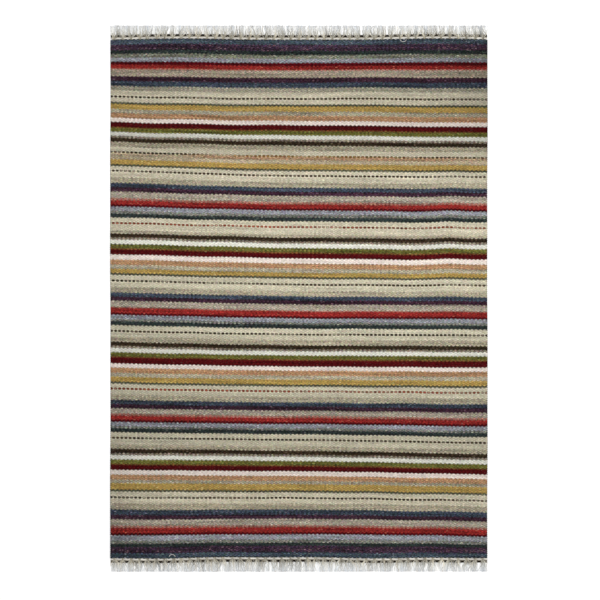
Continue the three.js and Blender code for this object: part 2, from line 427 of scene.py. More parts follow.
def bead_colours():
    """Linear colour of the yarn where each pick crosses each warp, with how mixed its wool is as alpha."""
    rng = np.random.default_rng(SEEDS["wool"])
    colours = np.zeros((PICKS, WARPS, 4))
    warp_x = ((np.arange(WARPS) + 0.5) / WARPS - 0.5) * FIELD_WIDTH
    for pick, name in enumerate(PICK_YARNS):
        seen, mixed, _, _ = YARNS[name]
        streak = smooth_noise(rng, WARPS, STREAK_BEADS) * STREAK_SHARE
        grain = rng.normal(size=WARPS) * BEAD_SHARE
        shade = 1 + mixed * (streak + grain) + rng.normal() * PICK_COLOUR_JITTER
        hue = 1 + HUE_SHARE * mixed * rng.normal(size=(WARPS, 3))
        tint = linear(seen)
        if name in PART_WIDTH:
            other, *stops = PART_WIDTH[name]
            own_share = np.interp(warp_x, *zip(*stops))[:, None]
            tint = tint * own_share + linear(YARNS[other][0]) * (1 - own_share)
        tint = tint * np.clip(shade, *BEAD_SHADES)[:, None] * hue
        if name.startswith("dot"):
            ground = linear(YARNS[PICK_YARNS[pick - 1]][0])
            faint = DOT_FAINT + DOT_FAINT_SWING * smooth_noise(rng, WARPS, DOT_BEADS)
            faint = np.clip(faint + DOT_GRAIN * rng.normal(size=WARPS), 0, DOT_FAINT_MOST)[:, None]
            tint = tint * (1 - faint) + ground * faint
        colours[pick, :, :3] = tint
        colours[pick, :, 3] = mixed
    warp_tone = np.stack([smooth_noise(rng, PICKS, WARP_TONE_PICKS) for _ in range(WARPS)], -1)
    share = ((np.arange(PICKS) + 0.5) / PICKS)[:, None]
    # Tone down the length, and patches of painted shade at two corners and along the left side and of
    # painted light in the middle
    tone = np.interp(share, *zip(*LENGTH_TONES)) + local_swells(SHADE_AND_LIGHT_PATCHES, warp_x[None, :], share)
    colours[:, :, :3] *= (tone * (1 + WARP_TONE * warp_tone))[:, :, None]
    return colours


def corner_colours(colours, picks, upper_shows):
    """Colour of every cell corner of the front: its bead's colour, blended with the pick beside it
    towards its creases and tips, and short flecks. Corners are left above, left below, right below
    and right above."""
    rng = np.random.default_rng(SEEDS["flecks"])
    column = np.arange(picks.shape[1])
    bead = column // CELLS
    on_left = (column % CELLS == 0).astype(int)
    on_right = (column % CELLS == CELLS - 1).astype(int)
    on_crease = np.broadcast_to(np.stack([on_left, on_left, on_right, on_right], -1), (*picks.shape, 4))
    at_tip = np.stack([~upper_shows, upper_shows, upper_shows, ~upper_shows], -1).astype(int)

    interval = np.arange(len(picks))[:, None]
    beside = np.clip(2 * interval - 1 - picks, 0, PICKS - 1)
    dotted = np.array([name.startswith("dot") for name in PICK_YARNS])
    plain = ~dotted[picks] & ~dotted[beside]
    share = np.array(BESIDE_SHARE)[at_tip, on_crease] * plain[:, :, None]
    on_flank = column % CELLS != 1
    near_dot = on_flank & dotted[beside] & ~dotted[picks]
    share = np.where(near_dot[:, :, None], np.array(DOT_DIVE)[on_crease], share)[..., None]
    own = colours[picks, bead][:, :, None]
    tints = own * (1 - share) + colours[beside, bead][:, :, None] * share

    fleck_share = np.array([YARNS[name][2] for name in PICK_YARNS])
    fleck = linear([YARNS[name][3] for name in PICK_YARNS])
    start = rng.uniform(size=picks.shape) < fleck_share[picks] / FLECK_CELLS
    flecked = start.copy()
    for step in range(1, FLECK_CELLS):
        flecked |= np.roll(start, step, 1)
    strength = (rng.uniform(*FLECK_STRENGTH, picks.shape) * flecked)[:, :, None]
    strength = np.minimum(strength * np.array(FLECK_WEIGHT)[at_tip, on_crease], 1)[..., None]
    tints[..., :3] = tints[..., :3] * (1 - strength) + fleck[picks][:, :, None] * strength
    tints[..., 3] = own[..., 3]
    return np.clip(tints, *WOOL_LIMITS)


def add_mesh(name, points, face_sets, tints, materials, slots=None):
    """A smooth mesh object. Its tints go with its faces or with their corners, and their alpha is how
    mixed the wool is."""
    counts = corner_counts(face_sets)
    corners = np.concatenate([f.ravel() for f in face_sets])
    mesh = bpy.data.meshes.new(name)
    mesh.vertices.add(len(points))
    mesh.vertices.foreach_set("co", np.ascontiguousarray(points, np.float32).ravel())
    mesh.loops.add(len(corners))
    mesh.loops.foreach_set("vertex_index", corners.astype(np.int32))
    mesh.polygons.add(len(counts))
    mesh.polygons.foreach_set("loop_start", (np.cumsum(counts) - counts).astype(np.int32))
    for material in materials:
        mesh.materials.append(material)
    if slots is not None:
        mesh.polygons.foreach_set("material_index", slots.astype(np.int32))
    mesh.update(calc_edges=True)
    mesh.polygons.foreach_set("use_smooth", np.ones(len(counts), bool))
    domain = "FACE" if len(tints) == len(counts) else "CORNER"
    yarn = mesh.attributes.new("yarn", "FLOAT_COLOR", domain)
    yarn.data.foreach_set("color", np.ascontiguousarray(tints, np.float32).ravel())
    made = bpy.data.objects.new(name, mesh)
    bpy.context.collection.objects.link(made)
    return made


def corner_counts(face_sets):
    """How many corners each face has, one set after another."""
    return np.concatenate([np.full(len(f), f.shape[1]) for f in face_sets])


def set_depth(made, depths):
    layer = made.data.attributes.new("depth", "FLOAT", "POINT")
    layer.data.foreach_set("value", np.ascontiguousarray(depths, np.float32).ravel())


def set_uv(made, name, corner_uv):
    layer = made.data.uv_layers.new(name=name)
    layer.uv.foreach_set("vector", np.ascontiguousarray(corner_uv, np.float32).ravel())


def area_normals(points, face_sets):
    """Smooth unit normals of the points, from all faces that meet there."""
    total = np.zeros_like(points)
    for faces in face_sets:
        area = np.zeros((len(faces), 3))
        for corner in range(faces.shape[1]):
            after = (corner + 1) % faces.shape[1]
            area += np.cross(points[faces[:, corner]], points[faces[:, after]])
        for corner in range(faces.shape[1]):
            for axis in range(3):
                total[:, axis] += np.bincount(faces[:, corner], area[:, axis], len(points))
    return total / np.maximum(np.linalg.norm(total, axis=1), 1e-12)[:, None]


# How the two yarns look. A noise is its cycles a metre along X, Y and Z, its detail and its roughness.
# Twist is in turns a warp and a pick, or along and around a thread, and bend is how far clumps bend it.
# Shades are darkest and lightest, and relief is of the fibres and of the twist
WOOL_LOOK = {
    "fibres": ((240, 1250, 700), 4.0, 0.65),
    "clumps": ((70, 210, 150), 2.0, 0.5),
    "twist": (1.02, 0.88),
    "bend": 0.9,
    "shades": {"fibres": (0.83, 1.17), "clumps": (0.93, 1.07), "twist": (0.94, 1.05)},
    "roughness": (0.8, 0.97),
    "gloss": {"Specular IOR Level": 0.03, "Sheen Weight": 0.02, "Sheen Roughness": 0.5},
    "relief": (0.55, 0.12),
    "bump": {"Distance": 0.6 * MM, "Strength": 0.7},
}
COTTON_LOOK = {
    "fibres": ((900, 420, 700), 3.0, 0.6),
    "clumps": ((120, 90, 120), 2.0, 0.5),
    "twist": (2.0, 1.0),
    "bend": 0.0,
    "shades": {"fibres": (0.88, 1.1), "clumps": (0.93, 1.06), "twist": (0.94, 1.03)},
    "roughness": (0.74, 0.92),
    "gloss": {"Specular IOR Level": 0.25, "Sheen Weight": 0.15, "Sheen Roughness": 0.5},
    "relief": (0.5, 0.25),
    "bump": {"Distance": 0.35 * MM, "Strength": 0.6},
}
# The spread of a noise's values that covers its range of shades, and of roughness
SHADE_SPREAD = (0.3, 0.7)
ROUGHNESS_SPREAD = (0.25, 0.75)

# Heathering in the wool itself: the noises of its light and dark and of its warm and cool fibres, how
# strongly they swing the colour, and the limits of that
HEATHER_LIGHT = ((175, 320, 320), 2.0, 0.65)
HEATHER_HUES = ((150, 300, 300), 2.0, 0.5)
HEATHER_GAIN = 15.0
HEATHER_HUE_GAIN = 4.0
HEATHER_LEAST = 0.4
HEATHER_MOST = 1.8

# Painted light on a bead's back, and painted shade in the crease of dark and of pale wool, with how light
# each of these is
BEAD_SHADE = 1.07
CREASE_SHADES = (0.66, 0.84)
CREASE_WOOLS = (0.25, 0.6)

# Kemp, the pale coarse hairs in wool: where its noise shows them, how strongly, and their colour
KEMP = ((190, 900, 500), 1.0, 0.4)
KEMP_FROM = (0.71, 0.76)
KEMP_SHARE = 0.25
KEMP_TINT = (0.45, 0.42, 0.36, 1)

# The underside's beads, drawn on a flat mesh: how round their outline is, their height beside the fibres',
# and the painted shade at their edge and the painted light in their middle
FLAT_BEAD_ROUND = 0.5
FLAT_BEAD_RELIEF = 2.2
FLAT_BEAD_EDGE = (0.1, 0.8)
FLAT_BEAD_SHADES = (0.55, 1.05)


class YarnNodes:
    """Nodes of a yarn's material, with short calls for more. They start with the fibres and the twist."""

    def __init__(self, name, look):
        self.material = bpy.data.materials.new(name)
        self.material.use_nodes = True
        self.tree = self.material.node_tree
        self.shader = self.tree.nodes["Principled BSDF"]
        self.place = self.add("TexCoord")["Object"]
        self.bump = look["bump"]
        fibres = self.noise(look["fibres"])
        clumps = self.noise(look["clumps"])
        weave = self.add("SeparateXYZ", {0: self.add("UVMap", uv_map="weave")["UV"]})
        self.across, self.along = weave["X"], weave["Y"]
        slant = self.weighted(self.across, self.along, look["twist"])
        if look["bend"]:
            slant = self.maths("ADD", slant, self.maths("MULTIPLY", clumps, look["bend"]))
        twist = self.maths("SINE", self.maths("MULTIPLY", slant, 2 * math.pi))
        shades = look["shades"]
        self.shade = self.maths(
            "MULTIPLY",
            self.ranged(fibres, SHADE_SPREAD, shades["fibres"]),
            self.ranged(clumps, SHADE_SPREAD, shades["clumps"]),
        )
        self.shade = self.maths("MULTIPLY", self.shade, self.ranged(twist, (-1, 1), shades["twist"]))
        self.height = self.weighted(fibres, twist, look["relief"])
        self.feed(self.shader, {"Roughness": self.ranged(fibres, ROUGHNESS_SPREAD, look["roughness"])})
        self.feed(self.shader, look["gloss"])

    def feed(self, node, inputs):
        """Links or sets a node's sockets, which are given by name or number."""
        for key, value in inputs.items():
            if hasattr(value, "is_linked"):
                self.tree.links.new(value, node.inputs[key])
            else:
                node.inputs[key].default_value = value

    def add(self, kind, inputs=None, **settings):
        """The outputs of a new node."""
        node = self.tree.nodes.new(f"ShaderNode{kind}")
        for key, value in settings.items():
            setattr(node, key, value)
        self.feed(node, inputs or {})
        return node.outputs

    def maths(self, operation, *values):
        return self.add("Math", dict(enumerate(values)), operation=operation)[0]

    def vector_maths(self, operation, *values):
        return self.add("VectorMath", dict(enumerate(values)), operation=operation)[0]

    def scaled(self, colour, factor):
        return self.add("VectorMath", {0: colour, "Scale": factor}, operation="SCALE")[0]

    def weighted(self, first, second, weights):
        """The sum of two values, each times its weight."""
        first = self.maths("MULTIPLY", first, weights[0])
        return self.maths("ADD", first, self.maths("MULTIPLY", second, weights[1]))

    def ranged(self, value, spread, target):
        """The value with its spread stretched to the target's two ends, and held within them."""
        return self.add("MapRange", dict(enumerate((value, *spread, *target))))[0]

    def noise(self, look, output="Fac"):
        stretch, detail, roughness = look
        place = self.add("Mapping", {"Vector": self.place, "Scale": stretch})["Vector"]
        inputs = {"Vector": place, "Scale": 1.0, "Detail": detail, "Roughness": roughness}
        return self.add("TexNoise", inputs)[output]

    def heathered(self, colour, mixing):
        """The colour with the light and dark, warm and cool fibres of mixed wool, lying along the weft."""
        light = self.maths("SUBTRACT", self.noise(HEATHER_LIGHT), 0.5)
        light = self.maths("MULTIPLY", light, HEATHER_GAIN)
        hues = self.vector_maths("SUBTRACT", self.noise(HEATHER_HUES, "Color"), (0.5, 0.5, 0.5))
        swing = self.vector_maths("ADD", self.scaled(hues, HEATHER_HUE_GAIN), light)
        swing = self.vector_maths("ADD", self.scaled(swing, mixing), (1, 1, 1))
        swing = self.vector_maths("MAXIMUM", swing, (HEATHER_LEAST,) * 3)
        swing = self.vector_maths("MINIMUM", swing, (HEATHER_MOST,) * 3)
        return self.vector_maths("MULTIPLY", colour, swing)

    def finished(self, colour):
        """The material, once its colour and relief are fed to its shader."""
        normal = self.add("Bump", {**self.bump, "Height": self.height})["Normal"]
        self.feed(self.shader, {"Base Color": colour, "Normal": normal})
        return self.material


def wool_material(name, flat_face):
    """Heathered wool: fibres along the yarn, slanting plies, painted shade in the creases and a few pale
    hairs.
    flat_face adds the relief of the beads and painted shade at their edges, where the mesh itself is flat."""
    nodes = YarnNodes(name, WOOL_LOOK)
    yarn = nodes.add("Attribute", attribute_name="yarn")
    depth = nodes.add("Attribute", attribute_name="depth")["Fac"]
    # Light scatters through pale wool, so less shade is painted in its creases
    paleness = nodes.add("RGBToBW", {"Color": yarn["Color"]})["Val"]
    crease = nodes.ranged(paleness, CREASE_WOOLS, CREASE_SHADES)
    shade = nodes.maths("MULTIPLY", nodes.shade, nodes.ranged(depth, (0, 1), (BEAD_SHADE, crease)))
    colour = nodes.scaled(nodes.heathered(yarn["Color"], yarn["Alpha"]), shade)
    kemp = nodes.ranged(nodes.noise(KEMP), KEMP_FROM, (0, KEMP_SHARE))
    colour = nodes.add("Mix", {"Factor": kemp, "A": colour, "B": KEMP_TINT}, data_type="RGBA")["Result"]
    if flat_face:
        beside = nodes.maths("SINE", nodes.maths("MULTIPLY", nodes.across, math.pi))
        step = nodes.maths("SUBTRACT", nodes.along, 0.5)
        step = nodes.maths("ADD", step, nodes.maths("FLOOR", nodes.across))
        over = nodes.maths("SINE", nodes.maths("MULTIPLY", step, math.pi / 2))
        waves = [nodes.maths("ABSOLUTE", wave) for wave in (beside, over)]
        bead = nodes.maths("MULTIPLY", *(nodes.maths("POWER", wave, FLAT_BEAD_ROUND) for wave in waves))
        nodes.height = nodes.maths("ADD", nodes.height, nodes.maths("MULTIPLY", bead, FLAT_BEAD_RELIEF))
        # Painted shade at the edges of the flat beads and painted light in their middle
        colour = nodes.scaled(colour, nodes.ranged(bead, FLAT_BEAD_EDGE, FLAT_BEAD_SHADES))
    return nodes.finished(colour)


def cotton_material(name):
    """Soft undyed cotton thread: fine fibres and a loose twist."""
    nodes = YarnNodes(name, COTTON_LOOK)
    yarn = nodes.add("Attribute", attribute_name="yarn")["Color"]
    return nodes.finished(nodes.scaled(yarn, nodes.shade))


WOOL = wool_material("wool_beads", False)
WOOL_BACK = wool_material("wool_beads_underside", True)
COTTON = cotton_material("cotton_thread")


def mark_piece(made, slot, *nodes):
    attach(made, BODY)
    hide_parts(*nodes)


# Parts of the unit square that a strip is baked into, from and to along U. The front and the back lie in
# two halves by length. Beside them are lanes for the cut walls, and above small cells for the two ends
FRONT_BAKE = (0.004, 0.74)
BACK_BAKE = (0.75, 0.97)
BAKE_FILL = 0.985
TOP_BAKE_V = 0.985
WALL_BAKE = 0.976
WALL_BAKE_WIDTH = 0.008
WALL_BAKE_STEP = 0.011
RIM_BAKE_U = (0.005, 0.98)
RIM_BAKE_V = 0.994
BAKE_DISC = 0.4
TUBE_BAKE_FILL = 0.9

# The order of a quad's corners when it is turned over
TURNED = [0, 3, 2, 1]


def quad_ends(low, high):
    """Low at a quad's first two corners and high at its last two."""
    return np.stack([low, low, high, high], -1)


def quad_sides(low, high):
    """High at a quad's second and third corners and low at the others."""
    return np.stack([low, high, high, low], -1)


def disc(corners):
    """Places around a small disc, one for each corner of a face."""
    turn = 2 * math.pi * np.arange(corners) / corners
    return BAKE_DISC * np.stack([np.cos(turn), np.sin(turn)], -1)


def strip_bake(row_share, column_share, low, high):
    """Corner places of a strip's grid faces, its first half by length beside its second half."""
    along = quad_sides(row_share[:-1], row_share[1:])[:, None]
    across = quad_ends(column_share[:-1], column_share[1:])[None]
    in_second = along[..., :2].sum(-1, keepdims=True) >= 1
    u = low + (high - low) / 2 * (in_second + across * BAKE_FILL)
    v = np.clip((along - 0.5 * in_second) * 2, 0, 1) * TOP_BAKE_V
    return np.stack(np.broadcast_arrays(u, v), -1)


def rim_bake(count):
    """Corner places of the faces that close a strip's two ends, in a row of small cells."""
    cell = np.arange(2 * count)
    size = (RIM_BAKE_U[1] - RIM_BAKE_U[0]) / len(cell)
    centre = np.stack([RIM_BAKE_U[0] + (cell + 0.5) * size, np.full(len(cell), RIM_BAKE_V)], -1)
    return centre[:, None] + disc(CELLS + 3)[None] * size


def wall_bake(rows, lane):
    """Corner places of the quads down one cut side of a strip."""
    step = np.arange(rows + 1) / rows * TOP_BAKE_V
    low = np.full(rows, WALL_BAKE + lane * WALL_BAKE_STEP)
    return np.stack([quad_sides(low, low + WALL_BAKE_WIDTH), quad_ends(step[:-1], step[1:])], -1)


def grid_quads(ids):
    """Faces of a grid of points, each from left above down and round to right above."""
    return np.stack([ids[:-1, :-1], ids[1:, :-1], ids[1:, 1:], ids[:-1, 1:]], -1)


def cut_walls(top_ids, back_ids, low, high):
    """Faces that close the sides where a strip is cut from the next: the quads of each side, and the
    triangles at its two ends."""
    walls, wall_ends = [], []
    for cut, is_cut, way in ((low, low > 0, 1), (high, high < WARPS, -1)):
        if is_cut:
            upper = top_ids[:, cut * CELLS]
            lower = back_ids[:, cut]
            quads = np.stack([upper[1:-2], lower[1:-2], lower[2:-1], upper[2:-1]], -1)
            near = np.array([[upper[0], lower[1], upper[1]]])
            far = np.array([[upper[-2], lower[-2], upper[-1]]])
            walls.append(quads[:, ::way])
            wall_ends += [near[:, ::way], far[:, ::way]]
    return walls, wall_ends


def field_strips():
    """The field as closed strips side by side, cut along the creases between two warps."""
    points, depth, weave, back_points = lattice()
    row_count = len(depth)
    top_ids = np.arange(depth.size).reshape(depth.shape)
    back_ids = depth.size + np.arange(row_count * (WARPS + 1)).reshape(row_count, WARPS + 1)
    for edge in (np.s_[0], np.s_[-1], np.s_[:, 0], np.s_[:, -1]):
        back_ids[edge] = top_ids[:, ::CELLS][edge]
    all_points = np.concatenate([points.reshape(-1, 3), back_points.reshape(-1, 3)])
    all_depth = np.concatenate([depth.ravel(), np.full(back_ids.size, BACK_DEPTH)])
    all_weave = np.concatenate([weave.reshape(-1, 2), weave[:, ::CELLS].reshape(-1, 2)])

    top_quads = grid_quads(top_ids)
    back_quads = grid_quads(back_ids)[1:-1, :, TURNED]
    first = np.arange(WARPS) * CELLS
    near_rim = [top_ids[0, first + step] for step in range(CELLS + 1)]
    far_rim = [top_ids[-1, first + step] for step in range(CELLS, -1, -1)]
    near_hexes = np.stack([*near_rim, back_ids[1, 1:], back_ids[1, :-1]], -1)
    far_hexes = np.stack([back_ids[-2, :-1], back_ids[-2, 1:], *far_rim], -1)
    surface = [top_quads.reshape(-1, 4), back_quads.reshape(-1, 4), near_hexes, far_hexes]
    normals = area_normals(all_points, surface)

    # Between two pick centres the front shows one of the two picks and the back the other
    interval, warp = np.meshgrid(np.arange(row_count - 1), np.arange(WARPS), indexing="ij")
    upper_shows = (warp + interval - 1) % 2 == 0
    front_pick = np.clip(np.where(upper_shows, interval - 1, interval), 0, PICKS - 1)
    back_pick = np.clip(np.where(upper_shows, interval, interval - 1), 0, PICKS - 1)
    colours = bead_colours()
    front_grids = [np.repeat(grid, CELLS, 1) for grid in (front_pick, upper_shows)]
    front_tints = corner_colours(colours, *front_grids)
    back_tints = np.clip(colours, *WOOL_LIMITS)[back_pick, warp]

    row_share = np.linspace(0, 1, row_count)
    cuts = np.linspace(0, WARPS, STRIPS + 1).round().astype(int)
    for strip, (low, high) in enumerate(zip(cuts[:-1], cuts[1:])):
        cells = slice(low * CELLS, high * CELLS)
        front = top_quads[:, cells].reshape(-1, 4)
        back = back_quads[:, low:high].reshape(-1, 4)
        rim = np.concatenate([near_hexes[low:high], far_hexes[low:high]])
        walls, wall_ends = cut_walls(top_ids, back_ids, low, high)
        face_sets = [front, back, rim, *walls, *wall_ends]

        own_tints = back_tints[:, low:high]
        wall_tints = np.tile(CUT_TINT, (sum(len(f) for f in walls + wall_ends), 1))
        own_tints = [own_tints[1:-1].reshape(-1, 4), own_tints[0], own_tints[-1]]
        other_tints = np.concatenate([*own_tints, wall_tints])
        other_tints = np.repeat(other_tints, corner_counts(face_sets[1:]), 0)
        tints = np.concatenate([front_tints[:, cells].reshape(-1, 4), other_tints])
        slots = np.zeros(sum(len(f) for f in face_sets))
        slots[len(front) : len(front) + len(back)] = 1

        corner_ids = np.concatenate([f.ravel() for f in face_sets])
        used, renumbered = np.unique(corner_ids, return_inverse=True)
        set_ends = np.cumsum([f.size for f in face_sets])[:-1]
        own_faces = [part.reshape(f.shape) for part, f in zip(np.split(renumbered, set_ends), face_sets)]
        name = f"field_strip_{strip + 1}"
        made = add_mesh(name, all_points[used], own_faces, tints, [WOOL, WOOL_BACK], slots)
        set_depth(made, all_depth[used])
        set_uv(made, "weave", all_weave[corner_ids])
        column_share = np.linspace(0, 1, (high - low) * CELLS + 1)
        places = [
            strip_bake(row_share, column_share, *FRONT_BAKE),
            strip_bake(row_share, column_share[::CELLS], *BACK_BAKE)[1:-1][:, :, TURNED],
            rim_bake(high - low),
            *(wall_bake(row_count - 3, lane) for lane in range(len(walls))),
            np.full((3 * len(wall_ends), 2), RIM_BAKE_V),
        ]
        set_uv(made, "OFBake", np.concatenate([p.reshape(-1, 2) for p in places]))
        made.data.normals_split_custom_set(normals[corner_ids])
        mark_piece(made, "wool_cloth", "woven_field")


# Length of a thread over which its twist repeats, in the place that its material reads
TWIST_LENGTH = 6 * MM


def add_tubes(name, paths, radii, sides, tints, material, flatness=1.0):
    """Tubes in one mesh. paths is tubes by steps by 3, and radii and tints are for each step or for all."""
    tubes, steps, _ = paths.shape
    radii = np.broadcast_to(radii, (tubes, steps))
    tints = np.broadcast_to(tints, paths.shape)
    ahead = np.gradient(paths, axis=1)
    ahead /= np.linalg.norm(ahead, axis=2, keepdims=True)
    beside = np.cross((0.0, 0.0, 1.0), ahead)
    beside /= np.maximum(np.linalg.norm(beside, axis=2, keepdims=True), 1e-9)
    upward = np.cross(ahead, beside)
    turn = (2 * math.pi * (np.arange(sides) + 0.5) / sides)[None, None, :, None]
    ring = np.cos(turn) * beside[:, :, None] + flatness * np.sin(turn) * upward[:, :, None]
    points = paths[:, :, None] + radii[:, :, None, None] * ring
    ids = np.arange(tubes * steps * sides).reshape(tubes, steps, sides)
    after = np.roll(ids, -1, 2)
    quads = np.stack([ids[:, :-1], after[:, :-1], after[:, 1:], ids[:, 1:]], -1)
    face_sets = [quads.reshape(-1, 4), ids[:, 0, ::-1], ids[:, -1]]
    side_tints = np.repeat(((tints[:, :-1] + tints[:, 1:]) / 2)[:, :, None], sides, 2)
    face_tints = np.concatenate([side_tints.reshape(-1, 3), tints[:, 0], tints[:, -1]])
    face_tints = np.pad(face_tints, ((0, 0), (0, 1)), constant_values=TUBE_MIXING)
    made = add_mesh(name, points.reshape(-1, 3), face_sets, face_tints, [material])
    length = np.linalg.norm(np.diff(paths, axis=1), axis=2).cumsum(1)
    length = np.concatenate([np.zeros((tubes, 1)), length], 1) / TWIST_LENGTH
    along = np.repeat(quad_ends(length[:, :-1], length[:, 1:])[:, :, None], sides, 2)
    around = np.arange(sides) / sides
    around = np.broadcast_to(quad_sides(around, around + 1 / sides), along.shape)
    cap_uv = np.zeros((2 * tubes * sides, 2))
    set_uv(made, "weave", np.concatenate([np.stack([along, around], -1).reshape(-1, 2), cap_uv]))
    set_uv(made, "OFBake", tube_bake(tubes, steps, sides))
    return made


def tube_bake(tubes, steps, sides):
    """Corner places that give each tube its own cell of the unit square."""
    across = math.ceil(math.sqrt(tubes))
    cell = np.arange(tubes)
    origin = np.stack([cell % across, cell // across], -1) / across
    size = TUBE_BAKE_FILL / across
    step = np.arange(steps - 1) / steps
    side = np.arange(sides) / sides
    u = quad_ends(step, step + 1 / steps)
    v = quad_sides(side, side + 1 / sides)
    sides_place = np.stack(np.broadcast_arrays(u[:, None], v[None]), -1)
    body = origin[:, None, None, None] + size * sides_place[None]
    # The caps lie in the last column of the cell, one above the other
    cap = (0.5 + disc(sides)) / steps * (1.0, 0.5) + ((steps - 1) / steps, 0.0)
    near = origin[:, None] + size * cap
    far = origin[:, None] + size * (cap + (0, 0.5))
    return np.concatenate([places.reshape(-1, 2) for places in (body, near, far)])


# A fringe thread from its root: how far out, how far it stands off the lock's middle, and how high
THREAD_OUT = np.array([-0.5, 4.6, 7.4, 9.4, 11.2, 13.1, 15.5, 31.0, 44.0]) * MM
THREAD_FAN = np.array([0.95, 1.0, 1.02, 1.35, 1.9, 2.5, 2.85, 2.85, 2.85])
THREAD_RISE = np.array([4.6, 5.6, 5.4, 4.7, 4.0, 3.4, 2.9, 1.6, 1.05]) * MM
ROOT_HALF_WIDTH = 4.7 * MM
ROOT_ARCH = 2.4 * MM
PILE_HEIGHT = 0.9 * MM
REACH_JITTER = 0.8 * MM
LOCK_JITTER = 1.5 * MM
LOCK_WIDTH_JITTER = 0.18
STRAY_SHARE = 0.06

# Threads and fine fibres of a lock. A thread thins on its way out, and the fibres lie above the threads
THREADS_A_LOCK = 15
THREAD_STEPS = 9
THREAD_SIDES = 4
THREAD_THINS = (0, 20 * MM, TRIM_LINE)
THREAD_RADII = (0.95 * MM, 0.85 * MM, 0.7 * MM)
FIBRES_A_LOCK = 20
FIBRE_STEPS = 7
FIBRE_SIDES = 3
FIBRE_RADIUS = 0.22 * MM
FIBRE_LIFT = 0.4 * MM

# Each lock parts into bunches that draw together and lean on their way out, and each thread curls in two
# waves, which grow to their full swing over CURL_REACH
BUNCHES = 3
BUNCH_PINCH = 0.22
BUNCH_LEAN = 4.0 * MM
THREAD_LEAN = 5.4 * MM
FIBRE_LEAN = 5.0 * MM
LEAN_FROM = 6 * MM
LEAN_BEND = 0.8
CURL_WAVES = (1.3, 2.4)
CURL_SHARE = 0.5
CURL_REACH = 20 * MM

# Colours of the fringe from root to tip, as seen, whose near white at the tip is partly painted highlight,
# and how bunches and threads differ in tone and warmth
TINT_STOPS = (0, 0.28, 0.42, 0.6, 1.0)
FRINGE_TINTS = [(146, 140, 124), (169, 164, 149), (185, 182, 171), (202, 202, 197), (216, 218, 220)]
BUNCH_TINT_JITTER = 0.1
TINT_JITTER = 0.16
TINT_JITTER_STOPS = (0.2, 0.35, 0.7)
TINT_JITTER_SHARES = (1.2, 2.5, 0.8)
WARMTH_JITTER = (0.035, 0.0, -0.055)
SOILED_SHARE = 0.05
SOILED_TINT = (0.52, 0.47, 0.42)
COTTON_LIMITS = (0.02, 0.92)

# The twined cord of two strands that swing out and up as they cross, and the thinner cord beside it
CORD_TINT = (203, 199, 191)
CORD_TINT_JITTER = 0.12
CORD_STEPS_A_LOCK = 6
CORD_INSET = 1 * MM
CORD_OUT = 3.4 * MM
CORD_HEIGHT = 3.2 * MM
CORD_RADIUS = 2.0 * MM
CORD_SIDES = 8
CORD_SWING = 0.7 * MM
CORD_RISE = 1.25 * MM
CORD_CROSSING = 0.7
FLATTENED = 0.85
SECOND_CORD_TINT = (172, 165, 149)
SECOND_CORD_OUT = 6.1 * MM
SECOND_CORD_HEIGHT = 2.9 * MM
SECOND_CORD_RADIUS = 1.5 * MM
SECOND_CORD_SWING = 0.3 * MM
SECOND_CORD_RISE = 0.5 * MM
WEFT_SIDES = 6

# Dark wool tubes below the locks, laid like a turned weft, that paint the shadow in the gaps between the
# locks: in lanes, and how far they stray out and up over how many steps
SHADOW_WEFT_TINT = (36, 29, 24)
SHADOW_WEFT_OUT = (8.9 * MM, 11.3 * MM, 13.7 * MM)
SHADOW_WEFT_HEIGHT = 1.75 * MM
SHADOW_WEFT_RADIUS = 1.6 * MM
SHADOW_WEFT_NOISE = ((0.35 * MM, 5), (0.12 * MM, 7))


